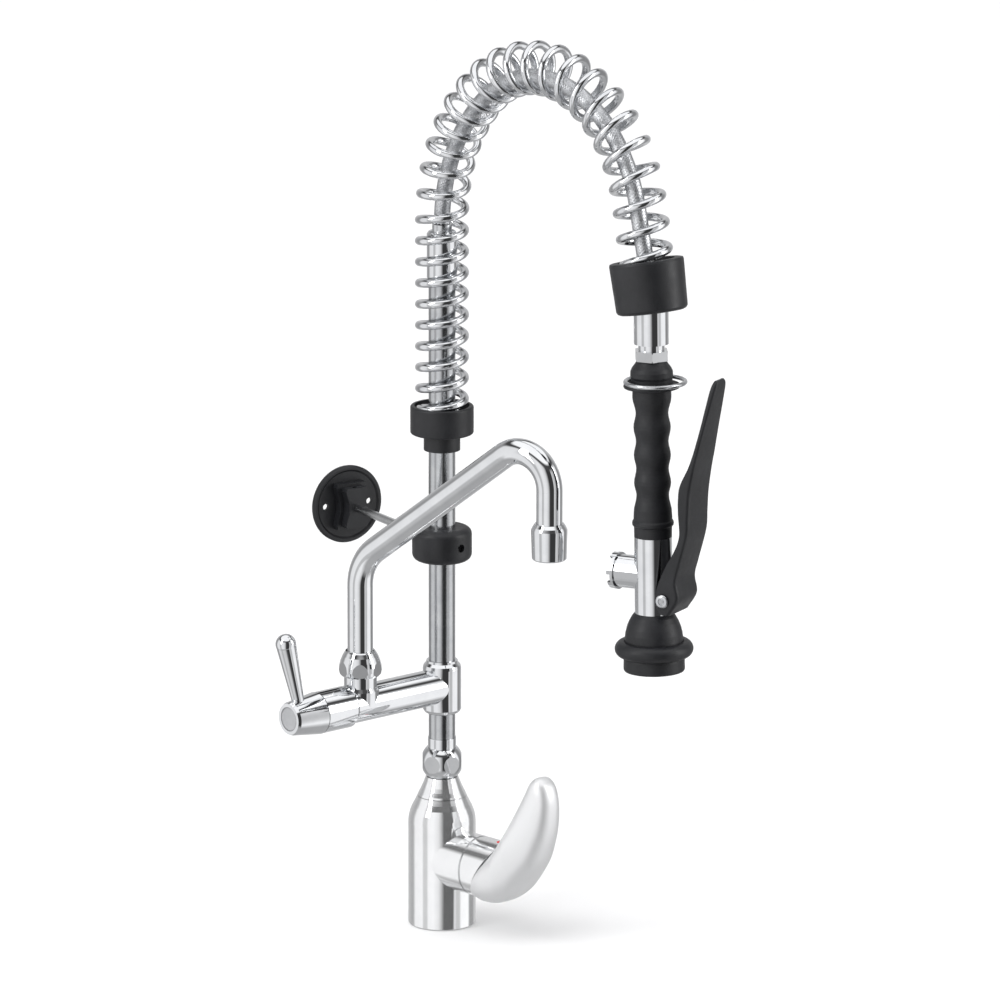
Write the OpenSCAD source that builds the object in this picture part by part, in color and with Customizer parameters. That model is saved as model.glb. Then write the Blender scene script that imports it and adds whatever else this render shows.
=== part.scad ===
// Deck-mounted pre-rinse faucet: single lever mixer, add-on valve with swing
// spout, riser with wall bracket, spring-balanced hose and spray valve.
// Origin: centre of the mixer's underside, on the riser axis. +Z up, -Y towards
// the user, +Y towards the wall, -X towards the add-on valve.

/* [Mixer] */
// Diameter of the mixer body
base_d = 56; // [54:1:58]
// Height of the cartridge axis above the deck
cart_z = 57.5; // [56:0.5:59]
// Diameter of the cartridge branch
cart_d = 50; // [48:1:50]
// Turn of the cartridge branch about the riser, from the front
mixer_turn = 5; // [0:1:10]
// Width of the lever blade at its tip
lever_tip_w = 26; // [22:1:30]

/* [Riser] */
// Outer diameter of the riser tube
riser_d = 22; // [21.8:0.1:22]
// Wall thickness of the riser tube
riser_wall = 1.5; // [1.2:0.1:2]
// Height of the top of the riser tube
riser_top = 560; // [556:1:570]

/* [Add-on valve] */
// Height of the valve branch axis
tee_z = 203.5; // [202:0.5:205]
// Distance from the riser axis to the spout axis
spout_x = 87; // [86:1:88]
// Diameter of the valve branch
branch_d = 30; // [28:1:31]
// Outward lean of the valve handle's lever
handle_lean = 14; // [8:1:20]

/* [Spout] */
// Outer diameter of the spout tube
spout_d = 21; // [20:0.5:21]
// Horizontal reach of the spout
spout_reach = 190.5; // [185:0.5:195]
// Direction of the spout in plan, from the +X axis
spout_dir = -77; // [-80:1:-74]
// Rise angle of the spout's straight run
spout_rise = 37; // [35:1:39]

/* [Wall bracket] */
// Height of the wall bracket
wall_z = 324.5; // [322:0.5:327]
// Distance from the riser axis to the wall face
wall_reach = 157; // [150:1:165]
// Direction of the wall rod in plan, from the +X axis
wall_dir = 81; // [78:1:90]
// Diameter of the wall flange
flange_d = 66; // [64:1:70]
// Spacing of the two wall screws
flange_pitch = 42; // [40:1:44]
// Diameter of the wall screw holes
flange_hole = 5.5; // [5:0.5:6]

/* [Support spring and hose] */
// Outer diameter of the support spring
spring_od = 44.4; // [44:0.1:44.4]
// Wire diameter of the support spring
spring_wire = 7; // [6.5:0.1:7]
// Outer diameter of the hose
hose_d = 13.5; // [13:0.5:13.5]
// Distance from the riser axis to the top of the spray valve
arch_reach = 256; // [256:1:256]

/* [Spray valve] */
// Outward lean of the spray valve as it hangs
gun_lean = 1.35; // [1:0.05:1.5]
// Direction that the spray lever faces in plan
gun_dir = -69; // [-75:1:-65]
// Diameter of the spray valve body
gun_d = 30.2; // [30:0.1:30.4]
// Outer diameter of the rubber bumper
bumper_d = 63; // [61:1:64]
// Number of spray holes in the outer circle
spray_holes = 12; // [8:1:14]

/* [Hidden] */
$fn = 64;

// ---- arch route of the support spring, in the plane X = 0 -------------------
// straight leg, wide arc, tight arc, straight run into the end cup
leg_z0 = 428;
leg_z1 = 596;
arc1_r = 150;
arc1_a = 50;
arc2_r = 116;
arc2_a = 169;
end_run = 60;
seg1 = leg_z1 - leg_z0;
seg2 = arc1_r * arc1_a * PI / 180;
seg3 = arc2_r * (arc2_a - arc1_a) * PI / 180;
path_len = seg1 + seg2 + seg3 + end_run;
p1y = -arc1_r * (1 - cos(arc1_a));
p1z = leg_z1 + arc1_r * sin(arc1_a);
c2y = p1y - arc2_r * cos(arc1_a);
c2z = p1z - arc2_r * sin(arc1_a);
p2y = c2y + arc2_r * cos(arc2_a);
p2z = c2z + arc2_r * sin(arc2_a);
// bend angle of the route at distance u
function bend(u) = u < seg1 ? 0
    : u < seg1 + seg2 ? (u - seg1) / arc1_r * 180 / PI
    : u < seg1 + seg2 + seg3 ? arc1_a + (u - seg1 - seg2) / arc2_r * 180 / PI
    : arc2_a;
// point of the route at distance u
function route(u) = u < seg1 ? [0, 0, leg_z0 + u]
    : u < seg1 + seg2 ? [0, -arc1_r * (1 - cos(bend(u))), leg_z1 + arc1_r * sin(bend(u))]
    : u < seg1 + seg2 + seg3 ? [0, c2y + arc2_r * cos(bend(u)), c2z + arc2_r * sin(bend(u))]
    : [0, p2y - (u - seg1 - seg2 - seg3) * sin(arc2_a), p2z + (u - seg1 - seg2 - seg3) * cos(arc2_a)];
function tang(u) = [0, -sin(bend(u)), cos(bend(u))];
function nrm2(u) = [0, cos(bend(u)), sin(bend(u))];
// turns of the coil up to distance u: closer on the leg, open over the arch
function turns(u) = u < seg1 ? u / 17.56 : seg1 / 17.56 + (u - seg1) / 20.6;
spring_r = (spring_od - spring_wire) / 2;
function coil_ang(u) = 140 + 360 * (turns(u) - turns(455.1 - leg_z0));
function coil_pt(u) = route(u) + spring_r * (cos(coil_ang(u)) * [1, 0, 0] + sin(coil_ang(u)) * nrm2(u));

function unit(v) = v / norm(v);
// rings of n points about each point of a route, joined into one closed tube
module tube_along(pts, r, n, up = [1, 0, 0]) {
    m = len(pts);
    t = [for (i = [0 : m - 1]) unit(pts[min(i + 1, m - 1)] - pts[max(i - 1, 0)])];
    a = [for (i = [0 : m - 1]) unit(cross(t[i], up))];
    b = [for (i = [0 : m - 1]) cross(t[i], a[i])];
    v = [for (i = [0 : m - 1]) for (k = [0 : n - 1])
        pts[i] + r * (cos(360 * k / n) * a[i] + sin(360 * k / n) * b[i])];
    f = concat(
        [[for (k = [0 : n - 1]) k]],
        [for (i = [0 : m - 2]) for (k = [0 : n - 1]) for (h = [0, 1]) h == 0
            ? [i * n + k, (i + 1) * n + k, (i + 1) * n + (k + 1) % n]
            : [i * n + k, (i + 1) * n + (k + 1) % n, i * n + (k + 1) % n]],
        [[for (k = [n - 1 : -1 : 0]) (m - 1) * n + k]]);
    polyhedron(points = v, faces = f, convexity = 10);
}

// helper shapes
module ring(ro, ri, h) { difference() { cylinder(r = ro, h = h); translate([0, 0, -1]) cylinder(r = ri, h = h + 2); } }
module along_x(x, z) { translate([x, 0, z]) rotate([0, -90, 0]) children(); }
// local frame of the cartridge branch: +X outward along the axis, Z up
module branch() { rotate([0, 0, mixer_turn - 90]) translate([0, 0, cart_z]) children(); }
module spout_at() { translate([-spout_x, 0, 0]) rotate([0, 0, spout_dir]) children(); }
module wall_at() { rotate([0, 0, wall_dir]) translate([0, 0, wall_z]) children(); }
// gun frame: z = 0 at the cup's mouth, hanging down; +X towards the lever
module gun() { translate([0, -arch_reach, 563]) rotate([-gun_lean, 0, 0]) rotate([0, 0, gun_dir]) children(); }
module cup_at() { translate([0, -257.6, 562.6]) rotate([-11, 0, 0]) children(); }

base_r = base_d / 2;
riser_r = riser_d / 2;

// ---- mixer ------------------------------------------------------------------
module mixer_body() color([0.86, 0.87, 0.88]) difference() {
    union() {
        rotate_extrude($fn = 96) polygon([[0, 0], [base_r - 0.6, 0], [base_r, 0.8], [base_r, 88],
            [base_r - 0.5, 92.5], [base_r - 1.5, 96.5], [base_r - 3.3, 101], [base_r - 5.6, 105.4],
            [20.4, 109.6], [0, 109.6]]);
        branch() rotate([0, 90, 0]) cylinder(d = cart_d, h = 43.5, $fn = 96);
        branch() translate([43.4, 0, 0]) rotate([0, 90, 0]) cylinder(d = cart_d - 3, h = 1.4, $fn = 96);
    }
    // cartridge chamber and outlet passage
    branch() translate([14, 0, 0]) rotate([0, 90, 0]) cylinder(r = 18.05, h = 40);
    translate([0, 0, 62]) cylinder(r = 8, h = 60);
    // gasket groove, two supply ports and the clamping stud's hole
    translate([0, 0, -0.01]) ring(25, 22.5, 2.2);
    for (s = [-1, 1]) translate([s * 9.5, 3, -1]) cylinder(d = 10, h = 36);
    translate([0, -14, -1]) cylinder(d = 8, h = 16);
    // recess between the ports
    translate([0, 0, 100]) cylinder(r = 15.05, h = 12);
}
module base_gasket() color([0.08, 0.08, 0.08]) ring(24.9, 22.6, 2.1);
module mixer_neck() color([0.86, 0.87, 0.88]) difference() {
    union() {
        translate([0, 0, 110]) rotate_extrude() polygon([[0, 0], [20.2, 0], [19.6, 1.6], [17.9, 5], [16.3, 8.5], [14.7, 12.5], [13.4, 16], [0, 16]]);
        translate([0, 0, 100.2]) cylinder(r = 15, h = 10);
        translate([0, 0, 125]) cylinder(r = 10.4, h = 12);
    }
    translate([0, 0, 99]) cylinder(r = 8, h = 40);
}
module mixer_cartridge() color([0.9, 0.9, 0.86]) branch() difference() {
    union() {
        translate([14.2, 0, 0]) rotate([0, 90, 0]) cylinder(r = 17.9, h = 22);
        translate([36, 0, 0]) rotate([0, 90, 0]) cylinder(r = 14, h = 5);
    }
    translate([30, 0, 0]) rotate([0, 90, 0]) cylinder(r = 10.1, h = 12);
    for (s = [-1, 0, 1]) translate([13, 9 * s, s == 0 ? 9 : -4]) rotate([0, 90, 0]) cylinder(r = 3, h = 8);
}
module cartridge_nut() color([0.75, 0.6, 0.3]) branch() translate([36.4, 0, 0]) rotate([0, 90, 0]) difference() {
    cylinder(r = 17.9, h = 5.5);
    translate([0, 0, -1]) cylinder(r = 14.2, h = 8);
}
// turning part of the cartridge: carries the cover and the lever
module cartridge_rotor() color([0.85, 0.85, 0.82]) branch() difference() {
    union() {
        translate([30.2, 0, 0]) rotate([0, 90, 0]) cylinder(r = 10, h = 16);
        translate([45.4, 0, 0]) rotate([0, 90, 0]) cylinder(r = 20.8, h = 2.6);
    }
    translate([40, -6, -6.5]) cube([10, 12, 13]);
}
// slanted sleeve over the cartridge, cut by the plane that the lever leaves
module lever_cover() color([0.86, 0.87, 0.88]) branch() difference() {
    translate([45.4, 0, 0]) rotate([0, 90, 0]) cylinder(d = cart_d, h = 29, $fn = 96);
    translate([44.8, 0, 0]) rotate([0, 90, 0]) cylinder(r = 20.9, h = 40);
    // slant from the top front edge down to the lower back edge
    translate([47.5, 0, -26]) rotate([0, 28.5, 0]) translate([0, -40, -30]) cube([60, 80, 130]);
    // socket of the index dot
    translate([66.5, 0, 20]) cylinder(r = 2.05, h = 8);
}
module index_dot() color([0.85, 0.05, 0.05]) branch() translate([66.5, 0, 21.2]) intersection() {
    cylinder(r = 2, h = 5);
    translate([0, 0, 0.2]) sphere(r = 4.3);
}
// outline of the lever blade seen from the side: outer curve less inner curve
module blade_side() difference() {
    intersection() {
        translate([63.4, 33.5]) circle(r = 66, $fn = 120);
        polygon([[48.5, -26], [80, -30], [140, -10], [140, 100], [104, 100], [46, 0]]);
    }
    translate([-10, 86]) circle(r = 122, $fn = 120);
}
module mixer_lever() color([0.86, 0.87, 0.88]) branch() difference() {
    intersection() {
        union() {
            // blade
            rotate([90, 0, 0]) translate([0, 0, -40]) linear_extrude(height = 80) polygon([
                [48.6, -25], [50.5, -26.4], [58, -27], [68.5, -26.2], [77, -23.3], [85, -19.3], [93.5, -12.6],
                [101, -4], [108.5, 5.5], [115.5, 16], [121, 28.5], [125.5, 42], [128, 55],
                [128.7, 67], [127.4, 77], [124.6, 84.5], [120.5, 89], [115, 90.6], [110, 89],
                [106.2, 84.5], [103.5, 80], [96, 63], [88, 46.5], [80, 31], [75.2, 24.5], [72.6, 20]]);
        }
        // outline seen along the branch: round foot, tapering blade, round tip
        rotate([0, 90, 0]) rotate([0, 0, 180]) linear_extrude(height = 200) union() {
            circle(r = cart_d / 2 + 2, $fn = 96);
            translate([78, 0]) circle(d = lever_tip_w, $fn = 64);
            polygon([[8, -cart_d / 2 - 0.5], [78, -lever_tip_w / 2], [78, lever_tip_w / 2], [8, cart_d / 2 + 0.5]]);
        }
    }
    // socket of the stem, and the grub screw's hole
    translate([44, -5.05, -5.05]) cube([31, 10.1, 10.1]);
    translate([66, 0, -40]) cylinder(r = 2.55, h = 37);
}
module lever_stem() color([0.8, 0.8, 0.78]) branch() translate([49, -5, -5]) cube([25.5, 10, 10]);
module lever_screw() color([0.3, 0.3, 0.32]) branch() translate([66, 0, -14]) difference() {
    cylinder(r = 2.5, h = 8.9);
    translate([0, 0, -0.1]) cylinder(r = 1.3, h = 3, $fn = 6);
}

// ---- riser ------------------------------------------------------------------
// ball nut with six flats
module riser_nut() color([0.86, 0.87, 0.88]) translate([0, 0, 126.3]) difference() {
    intersection() {
        translate([0, 0, 12.2]) sphere(r = 17.6, $fn = 96);
        cylinder(r = 30, h = 24.2);
        rotate([0, 0, 50]) cylinder(r = 16.1 / cos(30), h = 30, $fn = 6);
    }
    translate([0, 0, -1]) cylinder(r = riser_r + 0.05, h = 30);
}
module riser_seal() color([0.08, 0.08, 0.08]) translate([0, 0, 137.05]) ring(riser_r - 0.1, 8.5, 1.9);
module riser_collar() color([0.86, 0.87, 0.88]) translate([0, 0, 150.6]) ring(riser_r + 0.7, riser_r + 0.05, 8.6);
module riser_lower() color([0.86, 0.87, 0.88]) translate([0, 0, 139]) ring(riser_r, riser_r - riser_wall, 55);
module riser_upper() color([0.86, 0.87, 0.88]) translate([0, 0, 213]) ring(riser_r, riser_r - riser_wall, riser_top - 213);

// ---- add-on valve -----------------------------------------------------------
module tee_body() color([0.86, 0.87, 0.88]) difference() {
    union() {
        translate([0, 0, 180.5]) rotate_extrude() polygon([[0, 0], [12.6, 0], [14.6, 1.2], [15.9, 3.6], [15.9, 38.5], [15.2, 41], [13.2, 43.2], [12.9, 45], [0, 45]]);
        along_x(0, tee_z) cylinder(d = branch_d, h = 101);
        along_x(-100, tee_z) cylinder(r1 = branch_d / 2, r2 = 17.2, h = 3.2);
        along_x(-103, tee_z) cylinder(r = 17.2, h = 29.6);
        // spout boss
        translate([-spout_x, 0, tee_z]) cylinder(r = 13.5, h = 24);
        translate([-spout_x, 0, tee_z + 12]) cylinder(r1 = 15.2, r2 = 13.5, h = 3);
        translate([-spout_x, 0, tee_z]) cylinder(r = 15.2, h = 12.1);
    }
    // riser sockets and through bore
    translate([0, 0, 180]) cylinder(r = riser_r + 0.05, h = 14);
    translate([0, 0, 213]) cylinder(r = riser_r + 0.05, h = 14);
    translate([0, 0, 190]) cylinder(r = 8, h = 30);
    // branch passage and valve seat
    along_x(0, tee_z) cylinder(r = 7, h = 112);
    along_x(-108, tee_z) cylinder(r = 13.05, h = 30);
    // spout socket
    translate([-spout_x, 0, tee_z + 5]) cylinder(r = spout_d / 2 + 0.05, h = 20);
    translate([-spout_x, 0, tee_z]) cylinder(r = 6.5, h = 10);
}
module valve_cartridge() color([0.78, 0.62, 0.3]) difference() {
    along_x(-108.2, tee_z) cylinder(r = 13, h = 24.6);
    along_x(-112, tee_z) cylinder(r = 4.05, h = 30);
}
module valve_spindle() color([0.78, 0.62, 0.3]) difference() {
    along_x(-112.4, tee_z) cylinder(r = 4, h = 41.6);
    along_x(-144, tee_z) cylinder(r = 1.5, h = 12);
}
module valve_handle() color([0.86, 0.87, 0.88]) difference() {
    union() {
        along_x(-133.4, tee_z) cylinder(r1 = 17.4, r2 = 13.9, h = 26.6);
        along_x(-160, tee_z) cylinder(r1 = 13.9, r2 = 12.8, h = 2.4);
        // tapering lever with a round end
        translate([-149, 0, tee_z]) rotate([0, -handle_lean, 0]) {
            cylinder(r1 = 4.2, r2 = 8.4, h = 66, $fn = 48);
            translate([0, 0, 65.5]) sphere(r = 8.43, $fn = 48);
        }
    }
    along_x(-133, tee_z) cylinder(r = 4.05, h = 21.2);
    along_x(-150, tee_z) cylinder(r = 1.6, h = 8);
    along_x(-157.2, tee_z) cylinder(r = 10.05, h = 8);
}
module handle_screw() color([0.6, 0.6, 0.6]) difference() {
    union() { along_x(-145, tee_z) cylinder(r = 1.45, h = 12.4); along_x(-157.25, tee_z) cylinder(r = 3, h = 2); }
    along_x(-158.3, tee_z) cylinder(r = 1.2, h = 3, $fn = 6);
}
module handle_cap() color([0.55, 0.55, 0.57]) along_x(-159.6, tee_z) union() { cylinder(r = 10, h = 2); translate([0, 0, 1.9]) cylinder(r1 = 10, r2 = 9, h = 0.7); }

// ---- spout ------------------------------------------------------------------
spout_r = spout_d / 2;
bend1_r = 40;
bend2_r = 28;
// corner heights of the route's three straight lines
corner_z = 323.5;
tl1 = bend1_r * tan((90 - spout_rise) / 2);
tl2 = bend2_r * tan((90 + spout_rise) / 2);
corner2_z = corner_z + spout_reach * tan(spout_rise);
run_len = spout_reach / cos(spout_rise) - tl1 - tl2;
spout_end_z = 366;
module tube_face() difference() { circle(r = spout_r, $fn = 64); circle(r = spout_r - 1.5, $fn = 64); }
module spout_tube() color([0.86, 0.87, 0.88]) spout_at() {
    // foot with the grooves of the two O-rings
    translate([0, 0, 209.5]) difference() {
        ring(spout_r, spout_r - 1.5, corner_z - tl1 - 209.51);
        for (z = [2.4, 8.4]) translate([0, 0, z]) ring(spout_r + 1, spout_r - 1.02, 2);
    }
    translate([bend1_r, 0, corner_z - tl1]) rotate([90, 0, 0]) rotate([0, 0, 90 + spout_rise])
        rotate_extrude(angle = 90 - spout_rise, $fn = 96) translate([bend1_r, 0]) tube_face();
    translate([tl1 * cos(spout_rise), 0, corner_z + tl1 * sin(spout_rise)]) rotate([0, 90 - spout_rise, 0]) translate([0, 0, 0.01]) ring(spout_r, spout_r - 1.5, run_len - 0.02);
    translate([spout_reach - bend2_r, 0, corner2_z - tl2]) rotate([90, 0, 0])
        rotate_extrude(angle = 90 + spout_rise, $fn = 96) translate([bend2_r, 0]) tube_face();
    translate([spout_reach, 0, spout_end_z]) ring(spout_r, spout_r - 1.5, corner2_z - tl2 - spout_end_z - 0.01);
}
module spout_nut() color([0.86, 0.87, 0.88]) translate([-spout_x, 0, 227.8]) difference() {
    intersection() {
        rotate_extrude($fn = 96) polygon([[0, 0], [15.6, 0], [17, 1.6], [17.6, 4.6], [17.3, 8.5], [16.3, 12.5], [14.7, 16.5], [12.8, 19.8], [12.1, 20.8], [0, 20.8]]);
        rotate([0, 0, 20]) cylinder(r = 16.3 / cos(30), h = 30, $fn = 6);
    }
    translate([0, 0, -1]) cylinder(r = spout_r + 0.05, h = 30);
}
module spout_rings() color([0.08, 0.08, 0.08]) for (z = [212, 218]) translate([-spout_x, 0, z]) ring(spout_r + 0.02, spout_r - 1, 1.8);
module aerator_housing() color([0.86, 0.87, 0.88]) spout_at() translate([spout_reach, 0, 354.6]) difference() {
    rotate_extrude($fn = 96) polygon([[0, 0], [13, 0], [13.9, 1], [14.5, 22], [14.5, 24.6], [13.4, 27], [11.7, 29.6], [0, 29.6]]);
    translate([0, 0, 11.4]) cylinder(r = spout_r + 0.05, h = 30);
    translate([0, 0, -1]) cylinder(r = 11.55, h = 11);
    translate([0, 0, 5]) cylinder(r = 9, h = 10);
}
module aerator_insert() color([0.8, 0.8, 0.8]) spout_at() translate([spout_reach, 0, 356.2]) difference() {
    cylinder(r = 11.5, h = 8.2);
    translate([0, 0, 3]) cylinder(r = 9.6, h = 8);
    for (a = [0 : 30 : 330]) rotate([0, 0, a]) translate([8, 0, -1]) cylinder(r = 0.9, h = 5, $fn = 24);
    for (a = [0 : 60 : 300]) rotate([0, 0, a]) translate([4.4, 0, -1]) cylinder(r = 0.9, h = 5, $fn = 24);
    translate([0, 0, -1]) cylinder(r = 0.9, h = 5, $fn = 24);
}

// ---- wall bracket -----------------------------------------------------------
module soft_disc(r, h, f) rotate_extrude($fn = 96) polygon(concat(
    [[0, 0]], [for (a = [-90 : 15 : 0]) [r - f + f * cos(a), f + f * sin(a)]],
    [for (a = [0 : 15 : 90]) [r - f + f * cos(a), h - f + f * sin(a)]], [[0, h]]));
module wall_collar() color([0.1, 0.1, 0.11]) difference() {
    union() {
        translate([0, 0, wall_z - 14]) soft_disc(24.6, 28, 6);
        wall_at() translate([18, 0, 0]) rotate([0, 90, 0]) cylinder(r1 = 8.5, r2 = 6.5, h = 9);
    }
    translate([0, 0, wall_z - 20]) cylinder(r = riser_r + 0.05, h = 40);
    wall_at() translate([14.5, 0, 0]) rotate([0, 90, 0]) cylinder(r = 3.55, h = 20);
    // set screw hole and its recess
    translate([0, 0, wall_z]) rotate([90, 0, 0]) cylinder(r = 2.55, h = 30);
    translate([0, -21.5, wall_z]) rotate([90, 0, 0]) cylinder(r = 3.4, h = 8);
}
module wall_rod() color([0.75, 0.76, 0.78]) wall_at() translate([15, 0, 0]) rotate([0, 90, 0]) cylinder(r = 3.5, h = wall_reach - 15 - 6);
// waisted block, two tiers
module waist(w, h, n) polygon([[-w, -h], [w, -h], [w + 0.8, -h + 3], [n, -4], [n, 4], [w + 0.8, h - 3], [w, h], [-w, h], [-w - 0.8, h - 3], [-n, 4], [-n, -4], [-w - 0.8, -h + 3]]);
module wall_flange() color([0.1, 0.1, 0.11]) wall_at() difference() {
    union() {
        translate([wall_reach, 0, 0]) rotate([0, -90, 0]) rotate_extrude($fn = 96) polygon([[0, 0], [flange_d / 2 - 0.6, 0],
            [flange_d / 2, 0.8], [flange_d / 2, 3], [flange_d / 2 - 1.6, 4.6], [flange_d / 2 - 3.4, 4.6], [flange_d / 2 - 5, 3.4], [0, 3.4]]);
        translate([wall_reach - 3, 0, 0]) rotate([0, -90, 0]) linear_extrude(height = 8) rotate([0, 0, 90]) waist(13.5, 19.5, 11);
        translate([wall_reach - 11, 0, 0]) rotate([0, -90, 0]) linear_extrude(height = 8.5) rotate([0, 0, 90]) waist(9.5, 17, 7.5);
    }
    translate([wall_reach - 30, 0, 0]) rotate([0, 90, 0]) cylinder(r = 3.55, h = 24.2);
    for (s = [-1, 1]) translate([wall_reach - 6, s * flange_pitch / 2, 0]) rotate([0, 90, 0]) cylinder(d = flange_hole, h = 8);
    translate([wall_reach - 15, 0, 3]) cylinder(r = 2.05, h = 20);
}
// set screws of the wall collar, the flange and the spring holder
module set_screws() color([0.45, 0.45, 0.47]) {
    translate([0, -riser_r - 0.1, wall_z]) rotate([90, 0, 0]) difference() { cylinder(r = 2.5, h = 9.6); translate([0, 0, 7]) cylinder(r = 1.5, h = 4, $fn = 6); }
    wall_at() translate([wall_reach - 15, 0, 3.6]) difference() { cylinder(r = 2, h = 11); translate([0, 0, 8.5]) cylinder(r = 1.2, h = 4, $fn = 6); }
    rotate([0, 0, 40]) translate([riser_r + 0.1, 0, 410.6]) rotate([0, 90, 0]) difference() { cylinder(r = 2.5, h = 12.3); translate([0, 0, 10]) cylinder(r = 1.5, h = 4, $fn = 6); }
}

// ---- spring holder, coupling, hose and spring -------------------------------
module spring_holder() color([0.1, 0.1, 0.11]) difference() {
    union() {
        translate([0, 0, 417.4]) soft_disc(26, 23.4, 1.6);
        translate([0, 0, 403.6]) linear_extrude(height = 14.5) union() {
            circle(r = 15);
            rotate(40) translate([10.4, 0]) circle(r = 13.2);
        }
    }
    translate([0, 0, 400]) cylinder(r = riser_r + 0.05, h = 50);
    translate([0, 0, 424.4]) cylinder(r = 22.6, h = 30);
    rotate([0, 0, 40]) translate([0, 0, 410.6]) rotate([0, 90, 0]) cylinder(r = 2.55, h = 30);
}
module hose_coupling() color([0.86, 0.87, 0.88]) difference() {
    translate([0, 0, 547]) rotate_extrude() polygon([[0, 0], [11.8, 0], [12.4, 0.8], [12.4, 37], [11, 39], [0, 39]]);
    translate([0, 0, 546]) cylinder(r = riser_r + 0.05, h = riser_top - 545.7);
    translate([0, 0, 560]) cylinder(r = 6, h = 30);
}
module hose_ferrule() color([0.8, 0.81, 0.82]) difference() {
    union() { translate([0, 0, 562]) cylinder(r = 5.95, h = 24.2); translate([0, 0, 586.1]) cylinder(r = 8, h = 6); }
    translate([0, 0, 561]) cylinder(r = 4.2, h = 40);
}
hose_u0 = 592.9 - leg_z0;
hose_u1 = path_len + 7.6;
hose_n = 44;
function sag(t) = 7.4 * pow(sin(180 * t), 1.2);
function hose_pt(t) = let (u = hose_u0 + (hose_u1 - hose_u0) * t) route(u) - sag(t) * nrm2(u);
module hose() color([0.7, 0.71, 0.73]) tube_along([for (i = [0 : hose_n]) hose_pt(i / hose_n)], hose_d / 2, 12);
coil_n = 12;
coil_total = floor(turns(path_len) * coil_n);
function u_of(n) = n / coil_n < seg1 / 17.56 ? n / coil_n * 17.56 : seg1 + (n / coil_n - seg1 / 17.56) * 20.6;
module support_spring() color([0.82, 0.83, 0.85]) tube_along([for (i = [0 : coil_total]) coil_pt(u_of(i))], spring_wire / 2, 6, [0.02, 0.013, 0.01]);
module end_cup() color([0.1, 0.1, 0.11]) cup_at() difference() {
    rotate_extrude($fn = 96) polygon([[0, 0], [25.4, 0], [27.2, 0.8], [28.4, 2.6], [29.7, 39], [29.2, 40.6], [28, 41], [0, 41]]);
    translate([0, 0, 19]) cylinder(r = 22.7, h = 30);
    translate([0, 0, -1]) cylinder(r = 17.5, h = 30);
}
module swivel_ferrule() color([0.86, 0.87, 0.88]) gun() difference() {
    union() {
        translate([0, 0, -26]) cylinder(r = 13.8, h = 34);
        translate([0, 0, 6]) intersection() { sphere(r = 16.4); translate([0, 0, -5]) cylinder(r = 20, h = 12); }
    }
    translate([0, 0, -27]) cylinder(r = 9.05, h = 16);
    translate([0, 0, -20]) cylinder(r = 5, h = 60);
}

// ---- spray valve ------------------------------------------------------------
module gun_nut() color([0.86, 0.87, 0.88]) gun() difference() {
    union() {
        translate([0, 0, -39.2]) intersection() {
            cylinder(r = 14.4, h = 8, $fn = 6);
            translate([0, 0, 4]) sphere(r = 14.6);
        }
        translate([0, 0, -31.3]) cylinder(r = 10.5, h = 5.1);
        translate([0, 0, -26.3]) cylinder(r = 9, h = 12);
        translate([0, 0, -46]) cylinder(r = 8.9, h = 7);
    }
    translate([0, 0, -50]) cylinder(r = 5, h = 50);
}
// hand grip profile: heights and radii of its ridges, joined by smooth waves
grip_pts = [[-61.4, 17.4], [-63.5, 15.4], [-69, 15.5], [-82, 12.9], [-93.4, 14.8], [-105, 12.9], [-116, 14.7],
    [-127, 12.9], [-138.4, 14.7], [-148.5, 12.9], [-163, 15.3]];
function wave(a, b, n) = [for (i = [1 : n]) let (t = i / n, s = (1 - cos(180 * t)) / 2) [a[1] + (b[1] - a[1]) * s, a[0] + (b[0] - a[0]) * t]];
module grip() color([0.09, 0.09, 0.1]) gun() difference() {
    rotate_extrude() polygon(concat([[0, -182], [15, -182], [15.1, -175], [15.3, -173.6], [16.4, -172.4], [16.6, -171], [16.4, -169.6], [15.4, -168.2], [15.4, -166]],
        [for (i = [len(grip_pts) - 1 : -1 : 1]) for (p = wave(grip_pts[i], grip_pts[i - 1], 4)) p],
        [[22.1, -61.2], [22.5, -60.2], [22.1, -58.8], [16.6, -58.6], [16.4, -54], [17, -52], [16.8, -48], [15.6, -45.4], [13.4, -42.4], [11.6, -39.5], [0, -39.5]]));
    translate([0, 0, -190]) cylinder(r = 9.05, h = 160);
}
module grip_tube() color([0.8, 0.81, 0.82]) gun() translate([0, 0, -184]) ring(9, 6.5, 137.5);
module hold_ring() color([0.8, 0.81, 0.83]) gun() translate([3.2, 0, -56.7]) rotate_extrude($fn = 96) translate([23.6, 0]) circle(r = 1.75, $fn = 24);
pin_x = 17.4;
pin_zl = -229.5;
port_zl = -213;
gun_r = gun_d / 2;
module gun_body() color([0.86, 0.87, 0.88]) gun() difference() {
    union() {
        translate([0, 0, -244]) cylinder(r = gun_r, h = 62);
        translate([0, 0, -262]) cylinder(r = 12, h = 20);
        // side port, gland boss and the pin's lug
        translate([0, 0, port_zl]) rotate([0, -90, 0]) cylinder(r = 13.3, h = 29.4);
        translate([0, 0, port_zl]) rotate([0, 90, 0]) cylinder(r = 6.5, h = 18.5);
        difference() {
            union() {
                translate([8, -9, pin_zl - 4.6]) cube([pin_x - 8, 18, 9.2]);
                translate([pin_x, 9, pin_zl]) rotate([90, 0, 0]) cylinder(r = 4.6, h = 18);
            }
        }
    }
    translate([0, 0, -196]) cylinder(r = 9.05, h = 16);
    translate([0, 0, -270]) cylinder(r = 7, h = 80);
    translate([9, 0, port_zl]) rotate([0, -90, 0]) cylinder(r = 9.05, h = 50);
    translate([0, 0, port_zl]) rotate([0, 90, 0]) cylinder(r = 3.05, h = 30);
    translate([pin_x, 20, pin_zl]) rotate([90, 0, 0]) cylinder(r = 2.05, h = 40);
}
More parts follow.
